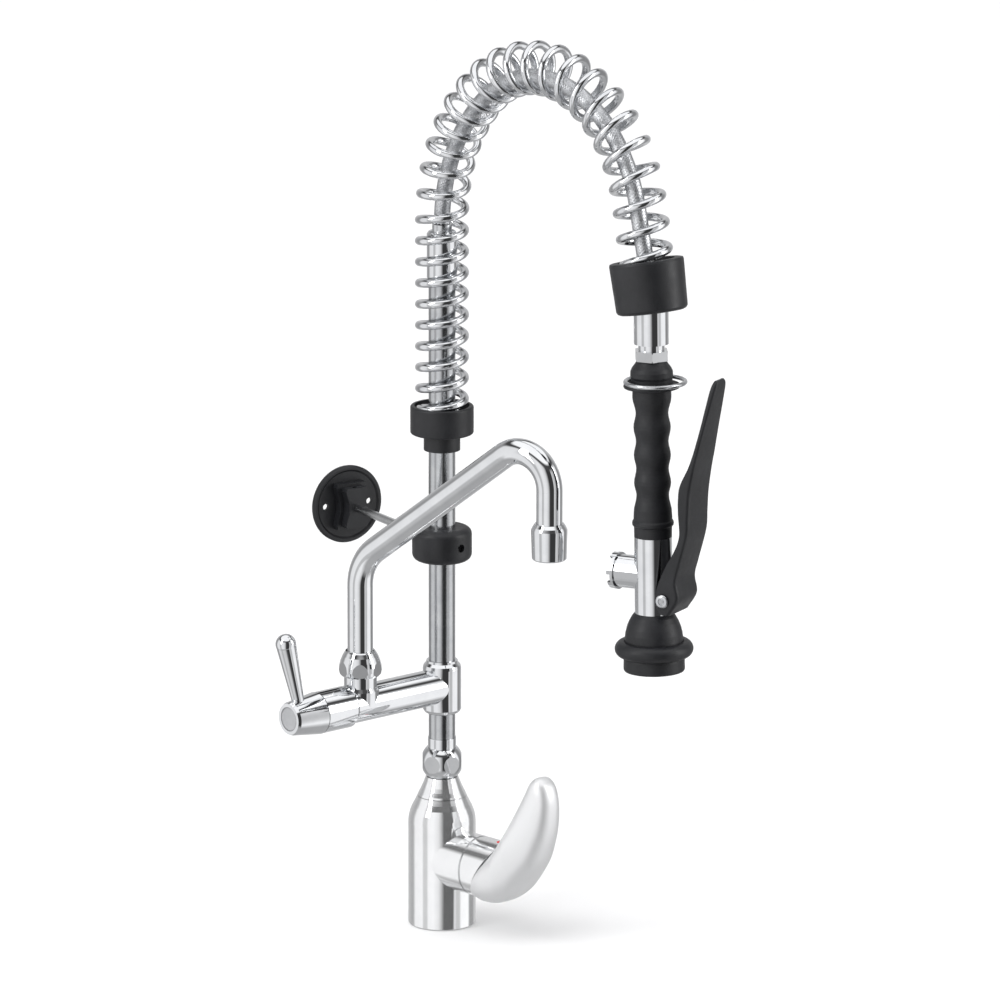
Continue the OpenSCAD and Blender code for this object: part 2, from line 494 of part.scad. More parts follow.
module valve_stem() color([0.75, 0.6, 0.3]) gun() translate([0, 0, port_zl]) rotate([0, 90, 0]) union() {
    translate([0, 0, -6]) cylinder(r = 3, h = 30.4);
    translate([0, 0, 4]) cylinder(r = 6.5, h = 2.5);
    translate([0, 0, -12]) cylinder(r = 2, h = 7);
}
module valve_spring() color([0.8, 0.81, 0.83]) gun() translate([0, 0, port_zl]) rotate([0, 90, 0])
    tube_along([for (i = [0 : 60]) [5 * cos(36 * i), 5 * sin(36 * i), -27.7 + 31 * i / 60]], 0.6, 6, [0, 0, 1]);
module valve_cap() color([0.86, 0.87, 0.88]) gun() translate([-29.6, 0, port_zl]) rotate([0, -90, 0]) difference() {
    union() {
        cylinder(r = 14.9, h = 2.2);
        translate([0, 0, 2.1]) cylinder(r = 14.9, h = 3);
        translate([0, 0, -8]) cylinder(r = 9, h = 8.1);
    }
    translate([0, 0, -9]) cylinder(r = 7.2, h = 7.8);
    translate([0, 0, 2.2]) cylinder(r = 12.2, h = 5);
    for (a = [0 : 60 : 300]) rotate([0, 0, a + 15]) translate([10, -3.4, 2.2]) cube([8, 6.8, 5]);
}
module lever_pin() color([0.8, 0.81, 0.82]) gun() translate([pin_x, 20.4, pin_zl]) rotate([90, 0, 0]) cylinder(r = 2, h = 40.8);
module pin_clips() color([0.7, 0.71, 0.72]) gun() for (s = [-1, 1]) translate([pin_x, s * 18.75, pin_zl]) rotate([s > 0 ? -90 : 90, 0, 0]) difference() {
    cylinder(r = 3.9, h = 0.9);
    translate([0, 0, -1]) cylinder(r = 2.01, h = 3);
    translate([2.6, -1.2, -1]) cube([3, 2.4, 3]);
}
// spray lever: side profile, heights measured from the cup's mouth
lever_out = [[22, -241.6], [30.5, -228], [28.8, -214], [32.4, -200], [39.4, -175], [40.6, -158], [42.5, -137], [50.5, -99], [58, -69], [61.5, -55], [62.2, -51.5], [61.2, -49.4]];
lever_in = [[59.6, -49.2], [57.6, -52], [47.6, -96], [41.5, -117], [33.6, -134], [31.8, -146], [31.8, -158], [32.6, -175], [28, -188], [20.5, -201], [13.6, -216], [11.2, -227], [12, -235], [15, -240.6]];
module lever_front(w0, w1) polygon([[-w1 / 2, -250], [w1 / 2, -250], [w1 / 2, -139], [w1 / 2 - 1.6, -112], [w0 / 2, -58], [w0 / 2 - 1.4, -53], [w0 / 2 - 4.5, -49.8], [0, -48.6],
    [-w0 / 2 + 4.5, -49.8], [-w0 / 2 + 1.4, -53], [-w0 / 2, -58], [-w1 / 2 + 1.6, -112], [-w1 / 2, -139]]);
module spray_lever() color([0.11, 0.11, 0.12]) gun() difference() {
    intersection() {
        rotate([90, 0, 0]) translate([0, 0, -20]) linear_extrude(height = 40) polygon(concat(lever_out, lever_in));
        rotate([90, 0, 90]) linear_extrude(height = 80) lever_front(21, 37);
    }
    // hollow between the ears
    intersection() {
        rotate([90, 0, 0]) translate([0, 0, -20]) linear_extrude(height = 40) polygon(concat(
            [for (p = lever_out) [p[0] - 2.6, p[1] + (p[1] < -230 ? -8 : 0)]], [[40, -40], [0, -40], [0, -250]]));
        rotate([90, 0, 90]) linear_extrude(height = 80) translate([0, -3.5]) lever_front(15, 31);
    }
    translate([pin_x, 25, pin_zl]) rotate([90, 0, 0]) cylinder(r = 2.05, h = 50);
}
module spray_bell() color([0.09, 0.09, 0.1]) gun() difference() {
    rotate_extrude($fn = 96) polygon([[0, -244.2], [15.4, -244.2], [17.6, -247], [19.8, -251], [21.6, -255.6], [22.8, -260.5], [23.4, -266], [23.5, -268.4],
        [19.4, -269.2], [19.4, -277.8], [24, -280.2], [24.4, -282], [24.5, -290], [24, -291.2], [23, -291.4], [0, -291.4]]);
    translate([0, 0, -263]) cylinder(r = 12.05, h = 30);
    translate([0, 0, -292]) cylinder(r = 17.05, h = 24);
    translate([0, 0, -270]) cylinder(r = 10, h = 10);
}
module bumper_ring() color([0.07, 0.07, 0.075]) gun() translate([0, 0, -273.5]) difference() {
    rotate_extrude($fn = 96) translate([bumper_d / 2 - 6.5, 0]) circle(r = 6.4, $fn = 48);
    translate([0, 0, -10]) cylinder(r = 19.5, h = 20);
    translate([0, 0, 4.2]) cylinder(r = 23.8, h = 5);
    translate([0, 0, -9]) cylinder(r = 24.3, h = 4.7);
}
module spray_face() color([0.25, 0.25, 0.27]) gun() translate([0, 0, -289.4]) difference() {
    cylinder(r = 17, h = 5);
    translate([0, 0, 2.4]) cylinder(r = 14.5, h = 5);
    for (a = [0 : spray_holes - 1]) rotate([0, 0, a * 360 / spray_holes]) translate([12, 0, -1]) cylinder(r = 1, h = 6, $fn = 24);
    for (a = [0 : 5]) rotate([0, 0, a * 60]) translate([6, 0, -1]) cylinder(r = 1, h = 6, $fn = 24);
    translate([0, 0, -1]) cylinder(r = 1, h = 6, $fn = 24);
}

mixer_body();
base_gasket();
mixer_neck();
mixer_cartridge();
cartridge_nut();
cartridge_rotor();
lever_cover();
index_dot();
mixer_lever();
lever_stem();
lever_screw();
riser_nut();
riser_seal();
riser_collar();
riser_lower();
tee_body();
valve_cartridge();
valve_spindle();
valve_handle();
handle_screw();
handle_cap();
spout_nut();
spout_rings();
spout_tube();
aerator_housing();
aerator_insert();
riser_upper();
wall_collar();
wall_rod();
wall_flange();
set_screws();
spring_holder();
hose_coupling();
hose_ferrule();
hose();
support_spring();
end_cup();
swivel_ferrule();
gun_nut();
grip();
grip_tube();
hold_ring();
gun_body();
valve_stem();
valve_spring();
valve_cap();
lever_pin();
pin_clips();
spray_lever();
spray_bell();
bumper_ring();
spray_face();
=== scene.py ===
import math

import bpy
import bmesh
import numpy as np
from mathutils import Matrix, Vector


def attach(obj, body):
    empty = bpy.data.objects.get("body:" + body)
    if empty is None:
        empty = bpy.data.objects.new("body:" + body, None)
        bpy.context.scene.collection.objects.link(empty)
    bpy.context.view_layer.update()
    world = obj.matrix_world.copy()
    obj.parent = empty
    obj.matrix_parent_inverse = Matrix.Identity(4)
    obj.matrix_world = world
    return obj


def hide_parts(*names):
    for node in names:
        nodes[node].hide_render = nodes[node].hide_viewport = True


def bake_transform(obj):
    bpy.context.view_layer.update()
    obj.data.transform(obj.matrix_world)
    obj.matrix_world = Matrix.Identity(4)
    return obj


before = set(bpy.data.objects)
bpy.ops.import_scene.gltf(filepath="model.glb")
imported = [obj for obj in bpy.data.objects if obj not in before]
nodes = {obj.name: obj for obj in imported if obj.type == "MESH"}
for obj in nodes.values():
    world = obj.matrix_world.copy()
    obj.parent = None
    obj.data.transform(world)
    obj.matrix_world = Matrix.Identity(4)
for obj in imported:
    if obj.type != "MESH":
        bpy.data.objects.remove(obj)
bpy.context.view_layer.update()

coll = bpy.context.scene.collection

# ---------------------------------------------------------------- materials


def new_mat(name):
    m = bpy.data.materials.new(name)
    m.use_nodes = True
    nt = m.node_tree
    b = nt.nodes["Principled BSDF"]
    return m, nt, b


def tex_coord(nt):
    n = nt.nodes.new("ShaderNodeTexCoord")
    return n.outputs["Object"]


def noise(nt, vec, scale, detail=3, rough=0.5):
    n = nt.nodes.new("ShaderNodeTexNoise")
    n.inputs["Scale"].default_value = scale
    n.inputs["Detail"].default_value = detail
    n.inputs["Roughness"].default_value = rough
    nt.links.new(vec, n.inputs["Vector"])
    return n.outputs["Fac"]


def ramp(nt, fac, stops):
    r = nt.nodes.new("ShaderNodeValToRGB")
    el = r.color_ramp.elements
    while len(el) < len(stops):
        el.new(0.5)
    for e, (p, c) in zip(el, stops):
        e.position = p
        e.color = (*c, 1) if len(c) == 3 else c
    nt.links.new(fac, r.inputs["Fac"])
    return r.outputs["Color"]


def to_range(nt, fac, a, b, c, d):
    n = nt.nodes.new("ShaderNodeMapRange")
    n.inputs["From Min"].default_value = a
    n.inputs["From Max"].default_value = b
    n.inputs["To Min"].default_value = c
    n.inputs["To Max"].default_value = d
    nt.links.new(fac, n.inputs["Value"])
    return n.outputs["Result"]


def bump(nt, height, strength, distance, normal=None):
    n = nt.nodes.new("ShaderNodeBump")
    n.inputs["Strength"].default_value = strength
    n.inputs["Distance"].default_value = distance
    nt.links.new(height, n.inputs["Height"])
    if normal is not None:
        nt.links.new(normal, n.inputs["Normal"])
    return n.outputs["Normal"]


def stretched(nt, vec, scale):
    n = nt.nodes.new("ShaderNodeMapping")
    n.inputs["Scale"].default_value = scale
    nt.links.new(vec, n.inputs["Vector"])
    return n.outputs["Vector"]


def metal(name, lo, hi, r0, r1, wave=0.0, brushed=None, scale=60.0, metallic=1.0):
    """Polished or drawn metal: slight tone change, faint smears in the gloss, soft waviness."""
    m, nt, b = new_mat(name)
    v = tex_coord(nt)
    b.inputs["Metallic"].default_value = metallic
    tone = noise(nt, v, scale, 4, 0.6)
    nt.links.new(ramp(nt, tone, [(0.3, lo), (0.7, hi)]), b.inputs["Base Color"])
    smear = noise(nt, v, scale * 2.3, 5, 0.65)
    rough = to_range(nt, smear, 0.3, 0.75, r0, r1)
    nt.links.new(rough, b.inputs["Roughness"])
    nrm = None
    if wave:
        nrm = bump(nt, noise(nt, v, 38, 1, 0.4), wave, 0.001)
    if brushed:
        line = noise(nt, stretched(nt, v, brushed), 900, 2, 0.5)
        nrm = bump(nt, line, 0.12, 0.0002, nrm)
    if nrm is not None:
        nt.links.new(nrm, b.inputs["Normal"])
    return m


def moulded(name, lo, hi, r0, r1, grain=900, strength=0.25, wear=0.0):
    """Moulded plastic or rubber: fine grain, patchy gloss."""
    m, nt, b = new_mat(name)
    v = tex_coord(nt)
    b.inputs["IOR"].default_value = 1.48
    tone = noise(nt, v, 45, 5, 0.6)
    nt.links.new(ramp(nt, tone, [(0.3, lo), (0.72, hi)]), b.inputs["Base Color"])
    nt.links.new(to_range(nt, noise(nt, v, 120, 4, 0.6), 0.3, 0.7, r0, r1), b.inputs["Roughness"])
    nt.links.new(bump(nt, noise(nt, v, grain, 2, 0.5), strength, 0.0003), b.inputs["Normal"])
    return m


M = {}
M["chrome"] = metal("chrome_polished", (0.72, 0.73, 0.745), (0.79, 0.80, 0.81), 0.02, 0.055, wave=0.05)
M["chrome_pale"] = metal("chrome_pale", (0.86, 0.865, 0.872), (0.91, 0.914, 0.918), 0.05, 0.10, wave=0.05, metallic=0.88)
M["lever_pale"] = metal("lever_satin_chrome", (0.80, 0.805, 0.81), (0.83, 0.835, 0.84), 0.42, 0.47, scale=14, metallic=0.68)
M["tube"] = metal("drawn_tube", (0.46, 0.47, 0.485), (0.56, 0.57, 0.58), 0.10, 0.17, wave=0.03, brushed=(60, 60, 0.6))
M["steel"] = metal("turned_steel", (0.52, 0.53, 0.55), (0.68, 0.69, 0.70), 0.18, 0.30, brushed=(1, 1, 1))
M["rod"] = metal("wall_rod_steel", (0.66, 0.67, 0.68), (0.76, 0.765, 0.77), 0.16, 0.26, brushed=(1, 1, 1))
M["spring"] = metal("spring_wire", (0.66, 0.67, 0.69), (0.80, 0.81, 0.82), 0.06, 0.13, brushed=(1, 1, 1))
M["brass"] = metal("machined_brass", (0.62, 0.46, 0.20), (0.78, 0.60, 0.30), 0.18, 0.32, brushed=(1, 1, 1))
M["dark_steel"] = metal("black_oxide", (0.10, 0.10, 0.11), (0.18, 0.18, 0.19), 0.28, 0.42, brushed=(1, 1, 1))
M["black"] = moulded("black_moulding", (0.007, 0.0075, 0.009), (0.013, 0.0135, 0.016), 0.38, 0.50, grain=1400, strength=0.25)
M["grip"] = moulded("grip_rubber", (0.007, 0.0075, 0.009), (0.012, 0.0125, 0.015), 0.42, 0.54, grain=1800, strength=0.30)
M["bumper"] = moulded("bumper_rubber", (0.006, 0.0065, 0.008), (0.011, 0.0115, 0.014), 0.40, 0.52, grain=1300, strength=0.30)
M["seal"] = moulded("seal_rubber", (0.010, 0.010, 0.011), (0.02, 0.02, 0.022), 0.5, 0.7)
M["ivory"] = moulded("cartridge_plastic", (0.55, 0.54, 0.50), (0.68, 0.67, 0.62), 0.3, 0.45)
M["grey_cap"] = moulded("grey_cap", (0.30, 0.305, 0.315), (0.42, 0.425, 0.435), 0.30, 0.42, grain=700, strength=0.1)
M["face"] = moulded("face_plastic", (0.03, 0.03, 0.033), (0.05, 0.05, 0.055), 0.4, 0.55)
M["red"] = moulded("index_red", (0.60, 0.006, 0.008), (0.80, 0.012, 0.012), 0.15, 0.28, grain=500, strength=0.05)


def braid_material():
    """Woven stainless braid: crossing strands come from the mesh; the nodes vary each strand's tone."""
    m, nt, b = new_mat("hose_braid")
    v = tex_coord(nt)
    b.inputs["Metallic"].default_value = 1.0
    nt.links.new(ramp(nt, noise(nt, v, 900, 4, 0.6), [(0.3, (0.40, 0.41, 0.43)), (0.7, (0.78, 0.79, 0.80))]), b.inputs["Base Color"])
    nt.links.new(to_range(nt, noise(nt, v, 500, 3, 0.6), 0.3, 0.7, 0.24, 0.42), b.inputs["Roughness"])
    nt.links.new(bump(nt, noise(nt, v, 2600, 2, 0.5), 0.3, 0.0003), b.inputs["Normal"])
    return m


M["braid"] = braid_material()

LOOK = {
    "chrome_pale": ["mixer_body", "mixer_neck", "lever_cover"],
    "chrome": ["riser_nut", "riser_collar", "tee_body", "valve_handle", "spout_nut", "spout_tube", "aerator_housing",
               "hose_coupling", "swivel_ferrule", "gun_nut", "gun_body", "valve_cap"],
    "tube": ["riser_lower", "riser_upper"],
    "lever_pale": ["mixer_lever"],
    "rod": ["wall_rod"],
    "steel": ["lever_stem", "handle_screw", "grip_tube", "lever_pin", "pin_clips", "hose_ferrule", "valve_spring", "hold_ring"],
    "spring": ["support_spring"],
    "braid": ["hose"],
    "brass": ["cartridge_nut", "valve_cartridge", "valve_spindle", "valve_stem"],
    "dark_steel": ["lever_screw", "set_screws"],
    "black": ["wall_collar", "wall_flange", "spring_holder", "end_cup", "spray_lever"],
    "grip": ["grip"],
    "bumper": ["bumper_ring", "spray_bell"],
    "seal": ["base_gasket", "riser_seal", "spout_rings"],
    "ivory": ["mixer_cartridge", "cartridge_rotor"],
    "grey_cap": ["handle_cap", "aerator_insert"],
    "face": ["spray_face"],
    "red": ["index_dot"],
}
for key, names in LOOK.items():
    for n in names:
        me = nodes[n].data
        me.materials.clear()
        me.materials.append(M[key])


# ---------------------------------------------------------------- mesh helpers
def make(name, verts, faces, mat, smooth=True, angle=40):
    me = bpy.data.meshes.new(name)
    me.from_pydata([tuple(map(float, v)) for v in verts], [], [tuple(map(int, f)) for f in faces])
    me.update()
    o = bpy.data.objects.new(name, me)
    coll.objects.link(o)
    me.materials.append(mat)
    bm = bmesh.new()
    bm.from_mesh(me)
    bmesh.ops.recalc_face_normals(bm, faces=bm.faces)
    if smooth:
        for f in bm.faces:
            f.smooth = True
        lim = math.radians(angle)
        for e in bm.edges:
            if len(e.link_faces) == 2 and e.calc_face_angle(0) > lim:
                e.smooth = False
    bm.to_mesh(me)
    bm.free()
    return o


def tube_mesh(pts, radius, n, cap=True):
    """Rings of n points along a route, parallel-transported, closed by flat end faces when cap is set."""
    pts = np.asarray(pts, float)
    t = np.gradient(pts, axis=0)
    t /= np.linalg.norm(t, axis=1)[:, None]
    a = np.cross(t[0], [0.3, 0.5, 0.8]); a /= np.linalg.norm(a)
    rings = []
    r = np.broadcast_to(np.asarray(radius, float), (len(pts),))
    for i in range(len(pts)):
        a = a - t[i] * np.dot(a, t[i]); a /= np.linalg.norm(a)
        b = np.cross(t[i], a)
        k = np.arange(n) * 2 * math.pi / n
        rings.append(pts[i] + r[i] * (np.cos(k)[:, None] * a + np.sin(k)[:, None] * b))
    v = np.concatenate(rings)
    m = len(pts)
    f = [(i * n + k, i * n + (k + 1) % n, (i + 1) * n + (k + 1) % n, (i + 1) * n + k) for i in range(m - 1) for k in range(n)]
    if cap:
        f.append(tuple(range(n)))
        f.append(tuple((m - 1) * n + k for k in range(n - 1, -1, -1)))
    return v, f


# ---------------------------------------------------------------- route of the arch (metres; the CAD's own formulas)
LEG0, LEG1, A1R, A1, A2R, A2, RUN = 428.0, 596.0, 150.0, 50.0, 116.0, 169.0, 60.0
S1 = LEG1 - LEG0
S2 = A1R * math.radians(A1)
S3 = A2R * math.radians(A2 - A1)
PATH = S1 + S2 + S3 + RUN
P1Y = -A1R * (1 - math.cos(math.radians(A1)))
P1Z = LEG1 + A1R * math.sin(math.radians(A1))
C2Y = P1Y - A2R * math.cos(math.radians(A1))
C2Z = P1Z - A2R * math.sin(math.radians(A1))
P2Y = C2Y + A2R * math.cos(math.radians(A2))
P2Z = C2Z + A2R * math.sin(math.radians(A2))


def bend(u):
    if u < S1:
        return 0.0
    if u < S1 + S2:
        return math.degrees((u - S1) / A1R)
    if u < S1 + S2 + S3:
        return A1 + math.degrees((u - S1 - S2) / A2R)
    return A2


def route(u):
    b = math.radians(bend(u))
    if u < S1:
        return np.array([0, 0, LEG0 + u])
    if u < S1 + S2:
        return np.array([0, -A1R * (1 - math.cos(b)), LEG1 + A1R * math.sin(b)])
    if u < S1 + S2 + S3:
        return np.array([0, C2Y + A2R * math.cos(b), C2Z + A2R * math.sin(b)])
    d = u - S1 - S2 - S3
    a2 = math.radians(A2)
    return np.array([0, P2Y - d * math.sin(a2), P2Z + d * math.cos(a2)])


def nrm2(u):
    b = math.radians(bend(u))
    return np.array([0, math.cos(b), math.sin(b)])


def tang(u):
    b = math.radians(bend(u))
    return np.array([0, -math.sin(b), math.cos(b)])


PITCH1, PITCH2 = 17.56, 20.6


def turns(u):
    return u / PITCH1 if u < S1 else S1 / PITCH1 + (u - S1) / PITCH2


def u_of(t):
    return t * PITCH1 if t < S1 / PITCH1 else S1 + (t - S1 / PITCH1) * PITCH2


COIL_R, WIRE_R = (44.4 - 7.0) / 2, 3.39
REF = turns(455.1 - LEG0)


def coil_pt(u):
    a = math.radians(140 + 360 * (turns(u) - REF))
    return route(u) + COIL_R * (math.cos(a) * np.array([1, 0, 0]) + math.sin(a) * nrm2(u))


# support spring: one smooth round wire
total = math.floor(turns(PATH) * 12) / 12
steps = int(total * (40))
pts = [coil_pt(u_of(total * i / steps)) / 1000 for i in range(steps + 1)]
v, f = tube_mesh(pts, WIRE_R / 1000, 20)
spring = make("support_spring_wire", v, f, M["spring"])
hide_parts("support_spring")
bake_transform(spring)

# braided hose: one tube whose surface carries two families of crossing strands as woven ridges
U0 = 592.9 - LEG0
U1 = PATH + 7.6


def hose_pt(t):
    u = U0 + (U1 - U0) * t
    s = 7.4 * max(math.sin(math.pi * t), 0) ** 1.2
    return route(u) - s * nrm2(u)


HN = 360
line = np.array([hose_pt(i / HN) for i in range(HN + 1)]) / 1000
seg = np.linalg.norm(np.diff(line, axis=0), axis=1)
arc = np.concatenate([[0], np.cumsum(seg)])
T = np.gradient(line, axis=0)
T /= np.linalg.norm(T, axis=1)[:, None]
NX = np.tile(np.array([1.0, 0, 0]), (HN + 1, 1))
NB = np.cross(T, NX)
NB /= np.linalg.norm(NB, axis=1)[:, None]
HOSE_R = 0.01350 / 2


def on_hose(s, ang, r):
    """Point at arc length s, angle ang and radius r about the hose's line."""
    p = np.stack([np.interp(s, arc, line[:, k]) for k in range(3)], -1)
    b = np.stack([np.interp(s, arc, NB[:, k]) for k in range(3)], -1)
    b /= np.linalg.norm(b, axis=-1)[..., None]
    r = np.asarray(r)[..., None]
    return p + r * (np.cos(ang)[..., None] * np.array([1.0, 0, 0]) + np.sin(ang)[..., None] * b)


def hose_grid():
    """A tube whose surface carries the braid as woven ridges, so it shows in geometry."""
    na = 96
    ns = int(arc[-1] / 0.0006)
    s = np.linspace(0, arc[-1], ns + 1)
    a = np.arange(na) * 2 * math.pi / na
    S, A = np.meshgrid(s, a, indexing="ij")
    carriers = 12
    lead = 0.030
    p1 = carriers * (A / (2 * math.pi) + S / lead)
    p2 = carriers * (A / (2 * math.pi) - S / lead)
    w1 = np.abs(np.sin(math.pi * p1)) ** 0.6
    w2 = np.abs(np.sin(math.pi * p2)) ** 0.6
    over = (np.floor(p1) + np.floor(p2)) % 2
    h = np.where(over > 0, w1, w2)
    edge = np.minimum(w1, w2)
    r = HOSE_R - 0.00055 + 0.00050 * (0.62 * h + 0.38 * edge)
    V = on_hose(S, A, r).reshape(-1, 3)
    F = [(i * na + k, i * na + (k + 1) % na, (i + 1) * na + (k + 1) % na, (i + 1) * na + k) for i in range(ns) for k in range(na)]
    F.append(tuple(range(na)))
    F.append(tuple(ns * na + k for k in range(na - 1, -1, -1)))
    return V, F


v, f = hose_grid()
hose = make("braided_hose", v, f, M["braid"], angle=80)
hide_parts("hose")
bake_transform(hose)

# ---------------------------------------------------------------- lofted paddle and spray levers
def xform(local_pts, mats):
    P = np.asarray(local_pts, float)
    for Mx in mats:
        P = P @ np.array(Mx.to_3x3()).T + np.array(Mx.translation)
    return P


BRANCH = [Matrix.Translation((0, 0, 57.5)), Matrix.Rotation(math.radians(5 - 90), 4, "Z")]
GUN = [Matrix.Rotation(math.radians(-69), 4, "Z"), Matrix.Rotation(math.radians(-1.35), 4, "X"), Matrix.Translation((0, -256, 563))]


PIN_X, PIN_Z, PORT_Z = 17.4, -229.5, -213.0


def spline(points, n, clamp=False):
    """Points at even lengths along a Catmull-Rom curve through the given ones."""
    P = np.asarray(points, float)
    Q = np.vstack([2 * P[0] - P[1], P, 2 * P[-1] - P[-2]])
    out = []
    for i in range(1, len(Q) - 2):
        p0, p1, p2, p3 = Q[i - 1], Q[i], Q[i + 1], Q[i + 2]
        for k in range(24):
            t = k / 24
            out.append(0.5 * (2 * p1 + (p2 - p0) * t + (2 * p0 - 5 * p1 + 4 * p2 - p3) * t * t + (3 * p1 - p0 - 3 * p2 + p3) * t ** 3))
    out.append(P[-1])
    out = np.array(out)
    d = np.concatenate([[0], np.cumsum(np.linalg.norm(np.diff(out, axis=0), axis=1))])
    d /= d[-1]
    t = np.linspace(0, 1, n)
    return np.stack([np.interp(t, d, out[:, k]) for k in range(out.shape[1])], -1)


def loft(sections):
    """Closed skin over rings that all have the same number of points."""
    n = len(sections[0])
    v = np.concatenate(sections)
    m = len(sections)
    f = [(i * n + k, i * n + (k + 1) % n, (i + 1) * n + (k + 1) % n, (i + 1) * n + k) for i in range(m - 1) for k in range(n)]
    f.append(tuple(range(n)))
    f.append(tuple((m - 1) * n + k for k in range(n - 1, -1, -1)))
    return v, f


def paddle():
    inner = [(72.9, 20.0), (75.6, 24.8), (80.4, 32), (88, 46.5), (96, 63.2), (102.6, 77), (106.4, 84.6), (110.2, 88.8), (114.2, 90.4)]
    outer = [(48.9, -25), (58, -26.8), (68.5, -26.0), (77, -23.3), (85, -19.3), (93.5, -12.6), (101, -4), (108.5, 5.5), (115.5, 16),
             (121, 28.5), (125.5, 42), (128, 55), (128.6, 67), (127.2, 77), (124.0, 84.8), (119.4, 89.2), (115.4, 90.5)]
    m, n = 90, 72
    I, O = spline(inner, m), spline(outer, m)
    ss = np.linspace(0, 1, m)
    W = np.interp(ss, [0, 0.06, 0.2, 0.35, 0.5, 0.65, 0.8, 0.9, 1], [25.2, 25.9, 25.8, 23.6, 20.2, 16.6, 13.2, 11.0, 10.0])
    tip = np.clip((ss - 0.86) / 0.14, 0, 1)
    W = W * np.sqrt(np.clip(1 - tip ** 2.4, 0.0006, 1))
    rings = []
    for i in range(m):
        c, h = (I[i] + O[i]) / 2, (O[i] - I[i]) / 2
        k = np.arange(n) * 2 * math.pi / n
        e = 2 / (2.0 + 0.5 * min(ss[i] * 4, 1))
        cx = np.sign(np.cos(k)) * np.abs(np.cos(k)) ** e
        cy = np.sign(np.sin(k)) * np.abs(np.sin(k)) ** e
        ring = np.stack([c[0] + h[0] * cx, W[i] * cy, c[1] + h[1] * cx], -1)
        rings.append(ring)
    v, f = loft(rings)
    return xform(v, [BRANCH[1], BRANCH[0]]) / 1000, f


v, f = paddle()
lever = make("mixer_paddle", v, f, M["lever_pale"], angle=50)
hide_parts("mixer_lever")
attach(lever, "mixer_lever_body")


def channel():
    """Spray lever: a U-shaped channel, open towards the grip, that narrows to a rounded thumb end."""
    outer = [(22, -241.6), (30.5, -228), (28.8, -214), (32.4, -200), (39.4, -175), (40.6, -158), (42.5, -137), (50.5, -99), (58, -69),
             (60.9, -57), (61.7, -53), (61.3, -49.8)]
    inner = [(15, -240.6), (12, -235), (11.2, -227), (13.6, -216), (20.5, -201), (28, -188), (32.6, -175), (31.8, -158), (31.8, -146),
             (33.6, -134), (41.5, -117), (47.6, -96), (55.2, -63), (57.4, -54), (58.9, -49.8)]
    m = 110
    O, I = spline(outer, m), spline(inner, m)
    rings = []
    for i in range(m):
        depth = float(np.linalg.norm(I[i] - O[i]))
        w = float(np.interp(O[i][1], [-250, -139, -112, -58, -53, -50.5, -49.4], [18.4, 18.4, 16.8, 10.4, 9.0, 7.4, 5.6]))
        fill = float(np.interp(O[i][1], [-66, -57], [0, 1]))
        th, side = min(2.6, 0.45 * depth) * (1 - fill) + 0.9 * depth * fill, min(2.9, 0.3 * w)
        r = min(3.2, 0.6 * depth, 0.4 * w)
        ri = min(1.2, 0.3 * r, 0.4 * (depth - th))
        prof = [(depth, w)]
        prof += [(r - r * math.sin(a), w - r + r * math.cos(a)) for a in np.linspace(0, math.pi / 2, 7)]
        prof += [(x, -y) for x, y in reversed(prof)]
        back = [(depth, -w + side)]
        back += [(th + ri - ri * math.sin(a), -w + side + ri - ri * math.cos(a)) for a in np.linspace(0, math.pi / 2, 5)]
        back += [(x, -y) for x, y in reversed(back)]
        u = (I[i] - O[i]) / depth
        rings.append(np.array([(O[i][0] + u[0] * x, y, O[i][1] + u[1] * x) for x, y in prof + back]))
    v, f = loft(rings)
    return xform(v, GUN) / 1000, f


v, f = channel()
squeeze = make("spray_channel_lever", v, f, M["black"], angle=35)
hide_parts("spray_lever")
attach(squeeze, "spray_lever_body")


def pin_heads(px, pz):
    """Domed heads with a sunk rim at both ends of the lever's pin."""
    prof = [(0.0, 0.9), (1.6, 0.9), (1.9, 0.55), (2.6, 0.55), (2.9, 1.25), (4.0, 1.1), (5.0, 0.7), (5.4, 0.25), (5.4, 0.0)]
    n, verts, faces = 40, [], []
    for side in (-1, 1):
        base = len(verts)
        for r, h in prof[1:]:
            verts += [(px + r * math.cos(2 * math.pi * k / n), side * (19.7 + h), pz + r * math.sin(2 * math.pi * k / n)) for k in range(n)]
        rows = len(prof) - 1
        faces += [(base + i * n + k, base + i * n + (k + 1) % n, base + (i + 1) * n + (k + 1) % n, base + (i + 1) * n + k)
                  for i in range(rows - 1) for k in range(n)]
        faces.append(tuple(base + k for k in range(n)))
        faces.append(tuple(base + (rows - 1) * n + k for k in range(n - 1, -1, -1)))
    return xform(verts, GUN) / 1000, faces


def valve_coil():
    """Return spring of the spray valve: six turns of wire about the valve's port, built in place."""
    p = []
    for i in range(361):
        a = math.radians(6 * i)
        p.append((-27.7 + 31 * i / 360, 5 * math.sin(a), PORT_Z - 5 * math.cos(a)))
    return tube_mesh(xform(p, GUN) / 1000, 0.0006, 10)


v, f = valve_coil()
coil = make("valve_return_spring", v, f, M["steel"])
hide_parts("valve_spring")
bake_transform(coil)

v, f = pin_heads(PIN_X, PIN_Z)
heads = make("lever_pin_heads", v, f, M["steel"], angle=35)
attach(heads, "spray_body")

